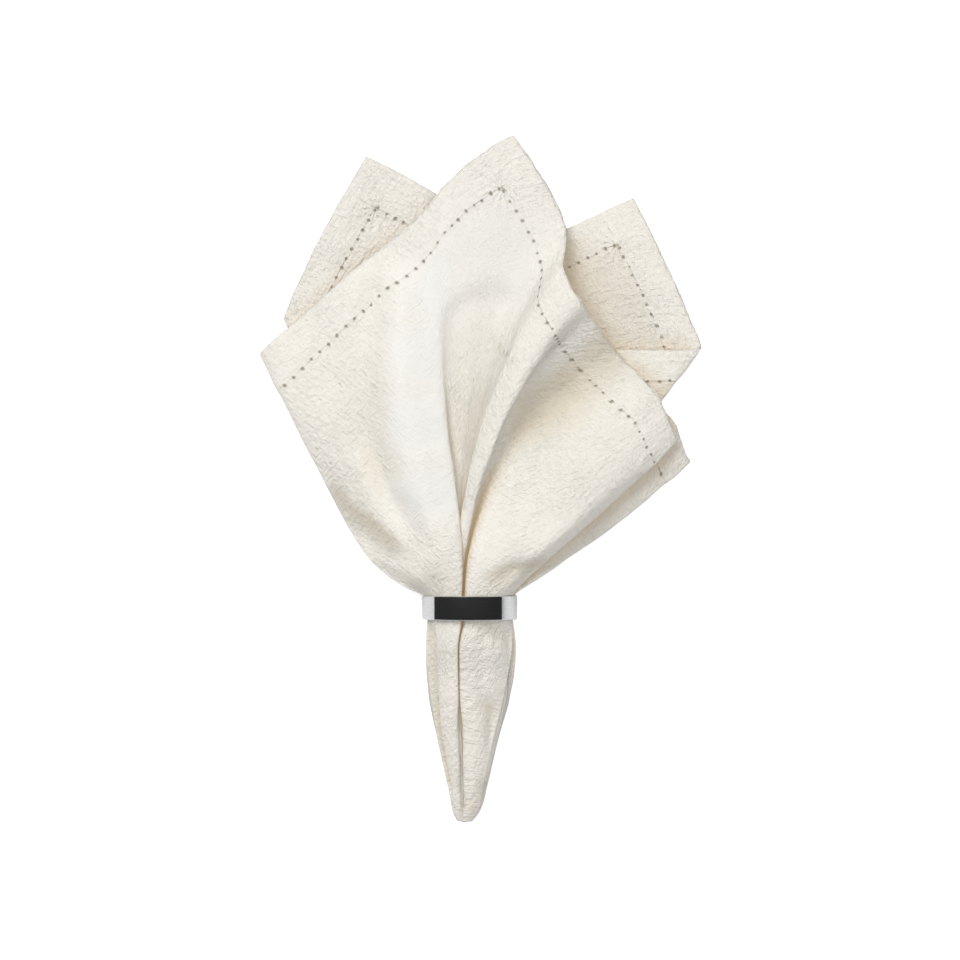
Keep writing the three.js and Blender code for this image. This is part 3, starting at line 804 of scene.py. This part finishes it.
@dataclass(frozen=True)
class ClothFinish:
    """Cream washed cotton with a drawn-thread border, with shade and a faint warm glow painted into
    its folds.
    """

    colour: tuple[float, float, float] = (0.81, 0.77, 0.685)
    pale: tuple[float, float, float] = (0.86, 0.825, 0.755)
    taut: tuple[float, float, float] = (0.80, 0.785, 0.745)
    # Colours of the painted shade in folds and under the shades, and of the painted warm glow in the
    # deepest folds
    fold_shade_colour: tuple[float, float, float] = (0.62, 0.505, 0.335)
    shaded: tuple[float, float, float] = (0.60, 0.52, 0.385)
    glow: tuple[float, float, float] = (0.95, 0.70, 0.42)
    hole: tuple[float, float, float] = (0.30, 0.25, 0.17)
    roughness: float = 0.92
    sheen: float = 0.08
    sheen_roughness: float = 0.5
    specular: float = 0.12
    taut_share: float = 0.8
    hem_share: float = 0.2
    # Painted shade in folds: where it starts, how fast it grows and how much of it shows
    fold_start: float = 0.1
    fold_slope: float = 1.2
    fold_share: float = 0.85
    # Painted glow in the deepest folds: where it starts, how fast it grows and its strength
    glow_start: float = 0.3
    glow_slope: float = 1.7
    glow_strength: float = 0.14
    hem: float = 20.0
    pitch: float = 5.5
    hole_size: float = 1.15
    side: float = 500.0

    def material(self) -> bpy.types.Material:
        """Builds the cloth's material on the flat cloth's own UV map."""
        mat, nodes, links, shader = new_material("cream_cloth")
        uv = nodes.new("ShaderNodeUVMap")
        uv.uv_map = "flat_cloth"
        weave = nodes.new("ShaderNodeGroup")
        weave.node_tree = weave_group(self.side)
        border = nodes.new("ShaderNodeGroup")
        border.node_tree = hemstitch_group(self.side)
        for name, value in (("Hem", self.hem), ("Pitch", self.pitch), ("Hole", self.hole_size)):
            border.inputs[name].default_value = value
        links.new(uv.outputs["UV"], weave.inputs["Flat"])
        links.new(uv.outputs["UV"], border.inputs["Flat"])
        links.new(weave.outputs["Slub"], border.inputs["Uneven"])
        tone = mix_colour(nodes, links, weave.outputs["Tone"], self.colour, self.pale)
        drawn = mix_colour(nodes, links, weave.outputs["Taut"], tone, self.taut,
                           self.taut_share)
        hemmed = mix_colour(nodes, links, border.outputs["Band"], drawn, self.pale,
                            self.hem_share)
        # Painted shade: towards a tan where the cloth is shut in by the cloth around it, less where
        # painted light clears it, and towards a shaded tan along the shades
        fold = nodes.new("ShaderNodeAttribute")
        fold.attribute_name = "fold_shade_mask"
        shade_paint = nodes.new("ShaderNodeAttribute")
        shade_paint.attribute_name = "painted_shade_and_light"
        painted_light = maths(nodes, links, "MINIMUM", shade_paint.outputs["Fac"], 0.0)
        both = maths(nodes, links, "ADD", fold.outputs["Fac"], painted_light)
        shut = ramp(nodes, links, both, self.fold_start, self.fold_slope)
        plain = mix_colour(nodes, links, shut, hemmed, self.fold_shade_colour, self.fold_share)
        painted_shade_mask = maths(nodes, links, "MAXIMUM", shade_paint.outputs["Fac"], 0.0, clamp=True)
        deep = mix_colour(nodes, links, painted_shade_mask, plain, self.shaded)
        holed = mix_colour(nodes, links, border.outputs["Holes"], deep, self.hole)
        links.new(holed, shader.inputs["Base Color"])
        # Painted glow: the deepest folds give off a faint warm light, though no lamp is there
        deepest = ramp(nodes, links, fold.outputs["Fac"], self.glow_start, self.glow_slope)
        through = mix_colour(nodes, links, deepest, BLACK, self.glow)
        links.new(through, shader.inputs["Emission Color"])
        for name, value in (("Emission Strength", self.glow_strength),
                            ("Roughness", self.roughness), ("Sheen Weight", self.sheen),
                            ("Sheen Roughness", self.sheen_roughness),
                            ("Specular IOR Level", self.specular)):
            shader.inputs[name].default_value = value
        first = bump_node(nodes, links, weave.outputs["Height"], 1.0, MM)
        second = bump_node(nodes, links, border.outputs["Height"], 1.0, MM, first)
        links.new(second, shader.inputs["Normal"])
        return mat


@dataclass(frozen=True)
class RingFinish:
    """A hard finish with fine turning marks: its colours, and its lowest and highest roughness."""

    name: str
    colour: tuple[float, float, float]
    worn: tuple[float, float, float]
    low: float
    high: float
    marks: float
    metallic: float = 0.0
    specular: float = 0.5

    def material(self) -> bpy.types.Material:
        """Builds the material on the object's own coordinates."""
        mat, nodes, links, shader = new_material(self.name)
        grain = nodes.new("ShaderNodeGroup")
        grain.node_tree = brushed_group()
        links.new(nodes.new("ShaderNodeTexCoord").outputs["Object"], grain.inputs["Place"])
        grain.inputs["Low"].default_value = self.low
        grain.inputs["High"].default_value = self.high
        tone = mix_colour(nodes, links, grain.outputs["Mask"], self.colour, self.worn)
        links.new(tone, shader.inputs["Base Color"])
        links.new(grain.outputs["Roughness"], shader.inputs["Roughness"])
        shader.inputs["Metallic"].default_value = self.metallic
        shader.inputs["Specular IOR Level"].default_value = self.specular
        normal = bump_node(nodes, links, grain.outputs["Mask"], self.marks, 0.1 * MM)
        links.new(normal, shader.inputs["Normal"])
        return mat


# Polished silver-coloured metal, and smooth dark enamel that is a little uneven
BAND_FINISH = RingFinish("ring_metal", (0.66, 0.66, 0.655), (0.6336, 0.6336, 0.6288), 0.2, 0.34,
                         0.04, metallic=1.0)
PLATE_FINISH = RingFinish("plate_enamel", (0.010, 0.010, 0.010), (0.018, 0.018, 0.018), 0.42,
                          0.55, 0.1, specular=0.12)


Socket = bpy.types.NodeSocket
Colour = tuple[float, float, float]
BLACK: Colour = (0.0, 0.0, 0.0)


def new_material(name: str) -> tuple:
    """A material with its nodes, links and Principled shader."""
    mat = bpy.data.materials.new(name)
    mat.use_nodes = True
    nodes, links = mat.node_tree.nodes, mat.node_tree.links
    return mat, nodes, links, nodes["Principled BSDF"]


def mix_colour(nodes: bpy.types.Nodes, links: bpy.types.NodeLinks, mask: Socket,
               low: Socket | Colour, high: Socket | Colour, share: float = 1.0) -> Socket:
    """Mixes two colours by a mask.

    Args:
        nodes: the tree's nodes.
        links: the tree's links.
        mask: 0 for low, 1 for high.
        low: a colour or a socket.
        high: a colour or a socket.
        share: how much of the mask counts.

    Returns:
        The mixed colour.
    """
    if share != 1.0:
        mask = maths(nodes, links, "MULTIPLY", mask, share)
    mix = nodes.new("ShaderNodeMix")
    mix.data_type = "RGBA"
    links.new(mask, mix.inputs[0])
    for socket, value in ((mix.inputs[6], low), (mix.inputs[7], high)):
        if isinstance(value, tuple):
            socket.default_value = (*value, 1.0)
        else:
            links.new(value, socket)
    return mix.outputs[2]


def maths(nodes: bpy.types.Nodes, links: bpy.types.NodeLinks, operation: str,
          *values: Socket | float, clamp: bool = False) -> Socket:
    """One sum of sockets and numbers."""
    node = nodes.new("ShaderNodeMath")
    node.operation = operation
    node.use_clamp = clamp
    for socket, value in zip(node.inputs, values):
        if isinstance(value, (int, float)):
            socket.default_value = value
        else:
            links.new(value, socket)
    return node.outputs[0]


def ramp(nodes: bpy.types.Nodes, links: bpy.types.NodeLinks, value: Socket, start: float,
         slope: float) -> Socket:
    """0 up to a start, and from there up to 1 at a slope."""
    return maths(nodes, links, "MULTIPLY", maths(nodes, links, "SUBTRACT", value, start), slope,
                 clamp=True)


def bump_node(nodes: bpy.types.Nodes, links: bpy.types.NodeLinks, height: Socket,
              strength: float, distance: float, under: Optional[Socket] = None) -> Socket:
    """A bump of a height, on top of another normal where one is given."""
    node = nodes.new("ShaderNodeBump")
    node.inputs["Strength"].default_value = strength
    node.inputs["Distance"].default_value = distance
    links.new(height, node.inputs["Height"])
    if under is not None:
        links.new(under, node.inputs["Normal"])
    return node.outputs["Normal"]


def new_group(name: str, inputs: Sequence[tuple[str, str]],
              outputs: Sequence[tuple[str, str]]) -> tuple:
    """An empty node group with its named sockets.

    Args:
        name: the group's name.
        inputs: names and kinds of the sockets that go in.
        outputs: names and kinds of the sockets that come out.

    Returns:
        The group, its nodes, links, and its input and output nodes.
    """
    group = bpy.data.node_groups.new(name, "ShaderNodeTree")
    for way, sockets in (("INPUT", inputs), ("OUTPUT", outputs)):
        for label, kind in sockets:
            group.interface.new_socket(label, in_out=way, socket_type=kind)
    nodes, links = group.nodes, group.links
    return group, nodes, links, nodes.new("NodeGroupInput"), nodes.new("NodeGroupOutput")


def flat_noise(nodes: bpy.types.Nodes, links: bpy.types.NodeLinks, place: Socket, stretch: Point,
               size: float, detail: float, rough: float = 0.55) -> Socket:
    """Noise over the flat cloth.

    Args:
        nodes: the tree's nodes.
        links: the tree's links.
        place: the place on the flat cloth in millimetres.
        stretch: how the noise is squeezed along each thread.
        size: how many grains to a millimetre.
        detail: how many finer layers it has.
        rough: how strong these are.

    Returns:
        The noise, about 0.5 on the whole.
    """
    mapping = nodes.new("ShaderNodeMapping")
    mapping.inputs["Scale"].default_value = stretch
    links.new(place, mapping.inputs["Vector"])
    tex = nodes.new("ShaderNodeTexNoise")
    tex.inputs["Scale"].default_value = size
    tex.inputs["Detail"].default_value = detail
    tex.inputs["Roughness"].default_value = rough
    links.new(mapping.outputs[0], tex.inputs["Vector"])
    return tex.outputs["Fac"]


def weave_group(side: float) -> bpy.types.NodeTree:
    """Crinkled plain weave: threads both ways, slubs and the puckers of washing.

    Height is in millimetres.
    """
    group, nodes, links, given, out = new_group(
        "crinkled_weave", [("Flat", "NodeSocketVector")],
        [("Height", "NodeSocketFloat"), ("Tone", "NodeSocketFloat"),
         ("Slub", "NodeSocketFloat"), ("Taut", "NodeSocketFloat")])

    def do(operation: str, *values: Socket | float, clamp: bool = False) -> Socket:
        """One sum in this group."""
        return maths(nodes, links, operation, *values, clamp=clamp)

    scale = nodes.new("ShaderNodeVectorMath")
    scale.operation = "SCALE"
    scale.inputs["Scale"].default_value = side
    links.new(given.outputs["Flat"], scale.inputs[0])
    place = scale.outputs[0]
    warp = flat_noise(nodes, links, place, (1, 0.16, 1), 1.5, 2)
    weft = flat_noise(nodes, links, place, (0.16, 1, 1), 1.4, 2)
    down = flat_noise(nodes, links, place, (1, 0.4, 1), 0.5, 3, 0.65)
    over = flat_noise(nodes, links, place, (0.4, 1, 1), 0.46, 3, 0.65)
    patch = flat_noise(nodes, links, place, (1, 1, 1), 0.022, 2)
    threads = do("ADD", warp, weft)
    puckers = do("ADD", down, over)
    rough = ramp(nodes, links, patch, 0.25, 2.0)
    taut: Socket | float = 0.0
    for u, v, wide in TAUT:
        apart = nodes.new("ShaderNodeVectorMath")
        apart.operation = "DISTANCE"
        links.new(place, apart.inputs[0])
        apart.inputs[1].default_value = (side / 2 + u, side / 2 + v, 0)
        near = do("SUBTRACT", 1.0, do("DIVIDE", do("SUBTRACT", apart.outputs["Value"], wide),
                                      1.4 * wide), clamp=True)
        taut = do("MAXIMUM", taut, near)
    drawn = do("SUBTRACT", 1.0, do("MULTIPLY", taut, 0.75))
    height = do("ADD", do("MULTIPLY", threads, THREAD_HEIGHT),
                do("MULTIPLY", do("MULTIPLY", puckers, PUCKER_HEIGHT),
                   do("MULTIPLY", do("ADD", rough, 0.6), drawn)))
    links.new(height, out.inputs["Height"])
    tone = do("ADD", do("MULTIPLY", puckers, 0.25), do("MULTIPLY", threads, 0.25))
    links.new(ramp(nodes, links, tone, 0.32, 2.8), out.inputs["Tone"])
    links.new(warp, out.inputs["Slub"])
    links.new(taut, out.inputs["Taut"])
    return group


def hemstitch_group(side: float) -> bpy.types.NodeTree:
    """The doubled hem and the row of drawn-thread holes at its inner edge.

    The holes differ in size and place, and where two rows meet the cloth is drawn into a
    small star of creases. Height is in millimetres.
    """
    along_first, along_by, across_by = 0.39, 0.22, 0.9
    squeezed, frayed, least, more, crisp = 0.85, 1.1, 0.75, 0.3, 1.5
    star_reach, star_spokes, star_bend, star_height = 15.0, 13.0, 6.0, 0.12
    hole_dark, line_dark, eye_dark = 0.85, 0.02, 0.5
    hem_height, hole_deep, line_deep = 0.25, 0.3, 0.02
    group, nodes, links, given, out = new_group(
        "hemstitch", [("Flat", "NodeSocketVector"), ("Hem", "NodeSocketFloat"),
                      ("Pitch", "NodeSocketFloat"), ("Hole", "NodeSocketFloat"),
                      ("Uneven", "NodeSocketFloat")],
        [("Height", "NodeSocketFloat"), ("Holes", "NodeSocketFloat"),
         ("Band", "NodeSocketFloat")])

    def do(operation: str, *values: Socket | float, clamp: bool = False) -> Socket:
        """One sum in this group."""
        return maths(nodes, links, operation, *values, clamp=clamp)

    def chance(*values: Socket | float) -> Socket:
        """A steady random number from two others."""
        join = nodes.new("ShaderNodeCombineXYZ")
        for socket, value in zip(join.inputs, values):
            if isinstance(value, (int, float)):
                socket.default_value = value
            else:
                links.new(value, socket)
        tex = nodes.new("ShaderNodeTexWhiteNoise")
        tex.noise_dimensions = "3D"
        links.new(join.outputs[0], tex.inputs["Vector"])
        return tex.outputs["Value"]

    split = nodes.new("ShaderNodeSeparateXYZ")
    links.new(given.outputs["Flat"], split.inputs[0])
    centred = [do("MULTIPLY", do("SUBTRACT", axis, 0.5), side) for axis in split.outputs[:2]]
    away = [do("ABSOLUTE", axis) for axis in centred]
    signs = [do("SIGN", axis) for axis in centred]
    from_edge = [do("SUBTRACT", side / 2, axis) for axis in away]
    hem, pitch, hole, uneven = (given.outputs[name] for name in ("Hem", "Pitch", "Hole", "Uneven"))
    rows, lines = [], []
    for across, along in ((0, 1), (1, 0)):
        off_line = do("SUBTRACT", from_edge[across], hem)
        place = do("DIVIDE", centred[along], pitch)
        which = do("FLOOR", place)
        luck = chance(which, signs[across], float(across))
        drift = chance(which, signs[across], across + 5.0)
        off_hole = do("MULTIPLY", do("SUBTRACT", do("SUBTRACT", place, which),
                                     do("ADD", do("MULTIPLY", drift, along_by), along_first)),
                      pitch)
        off_side = do("ADD", off_line, do("MULTIPLY", do("SUBTRACT", drift, 0.5), across_by))
        wide = do("MULTIPLY", off_side, squeezed)
        apart = do("SQRT", do("ADD", do("MULTIPLY", wide, wide),
                              do("MULTIPLY", off_hole, off_hole)))
        ragged = do("ADD", apart, do("MULTIPLY", do("SUBTRACT", uneven, 0.5), frayed))
        size = do("MULTIPLY", hole, do("ADD", do("MULTIPLY", luck, more), least))
        round_hole = do("MULTIPLY", do("SUBTRACT", size, ragged), crisp, clamp=True)
        inside = do("GREATER_THAN", from_edge[along], do("SUBTRACT", hem, 0.5))
        rows.append(do("MULTIPLY", round_hole, inside))
        near = do("SUBTRACT", 1.0, do("MULTIPLY", do("ABSOLUTE", off_side), 1.1), clamp=True)
        lines.append(do("MULTIPLY", near, inside))
    holes = do("MAXIMUM", rows[0], rows[1])
    line = do("MAXIMUM", lines[0], lines[1])
    edge = do("MINIMUM", from_edge[0], from_edge[1])
    band = do("SUBTRACT", 1.0, do("MULTIPLY", do("ADD", do("SUBTRACT", edge, hem), 0.6), 1.4),
              clamp=True)
    to_corner = [do("SUBTRACT", value, hem) for value in from_edge]
    square = [do("MULTIPLY", value, value) for value in to_corner]
    radius = do("SQRT", do("ADD", square[0], square[1]))
    angle = do("ARCTAN2", to_corner[0], to_corner[1])
    spokes = do("SINE", do("ADD", do("MULTIPLY", angle, star_spokes),
                           do("MULTIPLY", uneven, star_bend)))
    star = do("SUBTRACT", 1.0, do("DIVIDE", radius, star_reach), clamp=True)
    fine = do("MULTIPLY", radius, 0.25, clamp=True)
    creases = do("MULTIPLY", do("MULTIPLY", spokes, star), do("MULTIPLY", fine, star_height))
    eye = do("MULTIPLY", do("SUBTRACT", 1.5, radius), 0.9, clamp=True)
    marks = do("MAXIMUM", do("MULTIPLY", holes, hole_dark),
               do("MAXIMUM", do("MULTIPLY", line, line_dark), do("MULTIPLY", eye, eye_dark)))
    links.new(marks, out.inputs["Holes"])
    links.new(band, out.inputs["Band"])
    low = do("ADD", do("MULTIPLY", holes, hole_deep), do("MULTIPLY", line, line_deep))
    links.new(do("ADD", do("SUBTRACT", do("MULTIPLY", band, hem_height), low), creases),
              out.inputs["Height"])
    return group


def brushed_group() -> bpy.types.NodeTree:
    """Fine turning marks round the ring, built once."""
    if "turning_marks" in bpy.data.node_groups:
        return bpy.data.node_groups["turning_marks"]
    group, nodes, links, given, out = new_group(
        "turning_marks", [("Place", "NodeSocketVector"), ("Low", "NodeSocketFloat"),
                          ("High", "NodeSocketFloat")],
        [("Mask", "NodeSocketFloat"), ("Roughness", "NodeSocketFloat")])
    mapping = nodes.new("ShaderNodeMapping")
    mapping.inputs["Scale"].default_value = (60, 2600, 60)
    links.new(given.outputs["Place"], mapping.inputs["Vector"])
    tex = nodes.new("ShaderNodeTexNoise")
    tex.inputs["Scale"].default_value = 1.0
    tex.inputs["Detail"].default_value = 3
    links.new(mapping.outputs[0], tex.inputs["Vector"])
    links.new(tex.outputs["Fac"], out.inputs["Mask"])
    span = maths(nodes, links, "SUBTRACT", given.outputs["High"], given.outputs["Low"])
    rough = maths(nodes, links, "ADD", given.outputs["Low"],
                  maths(nodes, links, "MULTIPLY", span, tex.outputs["Fac"]))
    links.new(rough, out.inputs["Roughness"])
    return group


# The ring


@dataclass
class NapkinRing:
    """The band round the gathers and its front plate."""

    outer: float = 47.0
    wall: float = 1.5
    width: float = 12.0
    x: float = -5.4
    y: float = -63.0
    plate_width: float = 11.3
    plate_thick: float = 0.9
    plate_gap: float = 0.3
    half_angle: float = 42.4
    turn: float = -2.4
    around: int = 160

    def tube(self, name: str, radius: float, width: float) -> bpy.types.Object:
        """An open tube round the ring's axis.

        Args:
            name: the piece's name.
            radius: its radius in millimetres.
            width: its length along the axis.

        Returns:
            The tube, its place in its mesh.
        """
        deselect()
        bpy.ops.mesh.primitive_cylinder_add(
            vertices=self.around, radius=radius * MM, depth=width * MM, end_fill_type="NOTHING",
            location=(self.x * MM, self.y * MM, self.outer / 2 * MM), rotation=(math.pi / 2, 0, 0))
        tube = bpy.context.object
        tube.name = name
        bpy.ops.object.transform_apply(location=True, rotation=True, scale=True)
        return tube

    def thicken(self, piece: bpy.types.Object, wall: float, edge: float, offset: float) -> None:
        """Gives a tube its wall and eased edges.

        Args:
            piece: the open tube.
            wall: its thickness.
            edge: the width of the eased edge.
            offset: 1 to grow outwards, -1 inwards.
        """
        bpy.context.view_layer.objects.active = piece
        solid = piece.modifiers.new("wall", "SOLIDIFY")
        solid.thickness, solid.offset = wall * MM, offset
        bevel = piece.modifiers.new("edge", "BEVEL")
        bevel.width, bevel.segments, bevel.limit_method = edge * MM, 3, "ANGLE"
        for name in ("wall", "edge"):
            bpy.ops.object.modifier_apply(modifier=name)
        bpy.ops.object.shade_smooth_by_angle(angle=math.radians(35))

    def band(self) -> bpy.types.Object:
        """The closed metal band."""
        band = self.tube("ring_band_piece", self.outer / 2, self.width)
        self.thicken(band, self.wall, 0.62, -1)
        return band

    def plate(self) -> bpy.types.Object:
        """The curved front plate, cut from a tube just outside the band."""
        plate = self.tube("ring_plate_piece", self.outer / 2 + self.plate_gap, self.plate_width)
        mesh = plate.data
        bpy.ops.object.mode_set(mode="EDIT")
        bpy.ops.mesh.select_all(action="DESELECT")
        edit = bmesh.from_edit_mesh(mesh)
        middle = math.radians(90 - self.turn)
        for face in edit.faces:
            centre = face.calc_center_median()
            angle = math.atan2(centre.z - self.outer / 2 * MM, centre.x - self.x * MM)
            off = abs((angle - middle + math.pi) % (2 * math.pi) - math.pi)
            face.select = off > math.radians(self.half_angle)
        bmesh.update_edit_mesh(mesh)
        bpy.ops.mesh.delete(type="FACE")
        bpy.ops.object.mode_set(mode="OBJECT")
        self.thicken(plate, self.plate_thick, 0.3, 1)
        return plate

    def build(self) -> list[bpy.types.Object]:
        """Makes and dresses both pieces."""
        band, plate = self.band(), self.plate()
        for piece, node, slot, finish in ((band, "ring_band", "ring_metal", BAND_FINISH),
                                          (plate, "ring_plate", "plate_enamel", PLATE_FINISH)):
            piece.data.materials.append(finish.material())
            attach(piece, "root")
            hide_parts(node)
        return [band, plate]


# The studio


@dataclass
class Studio:
    """A pale table top seen from straight above in soft light."""

    height: float = 2.4
    seen: float = 0.48
    table: Colour = (0.95, 0.95, 0.95)
    glow: float = 0.6
    low_sky: Colour = (0.22, 0.22, 0.225)
    high_sky: Colour = (0.74, 0.75, 0.765)

    def camera(self) -> bpy.types.Object:
        """The camera, straight above the napkin."""
        data = bpy.data.cameras.new("camera")
        data.sensor_width = 36
        data.lens = 36 * self.height / self.seen
        camera = bpy.data.objects.new("camera", data)
        camera.location = (-0.00025, 0, self.height)
        bpy.context.scene.collection.objects.link(camera)
        bpy.context.scene.camera = camera
        return camera

    def light(self, name: str, place: Point, size: float, power: float) -> bpy.types.Object:
        """A square soft light that looks at the napkin."""
        data = bpy.data.lights.new(name, "AREA")
        data.shape, data.size, data.energy = "SQUARE", size, power
        lamp = bpy.data.objects.new(name, data)
        lamp.location = place
        lamp.rotation_euler = (-Vector(place)).to_track_quat("-Z", "Y").to_euler()
        bpy.context.scene.collection.objects.link(lamp)
        return lamp

    def build(self) -> None:
        """Makes the table top and the lights."""
        world = bpy.data.worlds.new("soft_room")
        world.use_nodes = True
        nodes, links = world.node_tree.nodes, world.node_tree.links
        back = nodes["Background"]
        split = nodes.new("ShaderNodeSeparateXYZ")
        links.new(nodes.new("ShaderNodeTexCoord").outputs["Generated"], split.inputs[0])
        up = maths(nodes, links, "MULTIPLY", split.outputs["Z"], 1.0, clamp=True)
        links.new(mix_colour(nodes, links, up, self.low_sky, self.high_sky), back.inputs["Color"])
        bpy.context.scene.world = world
        self.light("window", (-1.3, 1.9, 3.1), 2.0, 84)
        self.light("fill", (0.7, 0.2, 1.8), 1.8, 7)
        deselect()
        bpy.ops.mesh.primitive_plane_add(size=6, location=(0, 0, -0.0002))
        table = bpy.context.object
        table.name = "table_top"
        mat, nodes, links, shader = new_material("pale_table")
        shader.inputs["Base Color"].default_value = (*self.table, 1)
        shader.inputs["Roughness"].default_value = 0.9
        shader.inputs["Specular IOR Level"].default_value = 0.1
        seen = nodes.new("ShaderNodeLightPath").outputs["Is Camera Ray"]
        links.new(mix_colour(nodes, links, seen, BLACK, self.table),
                  shader.inputs["Emission Color"])
        shader.inputs["Emission Strength"].default_value = self.glow
        table.data.materials.append(mat)
        scene = bpy.context.scene
        scene.view_settings.view_transform = "Standard"
        scene.view_settings.look = "None"


def main() -> None:
    """Builds the napkin, its ring and the studio around the fixed frame."""
    logging.basicConfig(level=logging.INFO, format="%(message)s")
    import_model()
    studio = Studio()
    studio.camera()
    cloth = NapkinCloth()
    napkin = cloth.build()
    napkin.data.materials.append(ClothFinish().material())
    cloth.place(napkin)
    log.info("made %s: %d faces", napkin.name, len(napkin.data.polygons))
    for piece in NapkinRing().build():
        log.info("made %s: %d faces", piece.name, len(piece.data.polygons))
    studio.build()


if __name__ == "__main__":
    main()
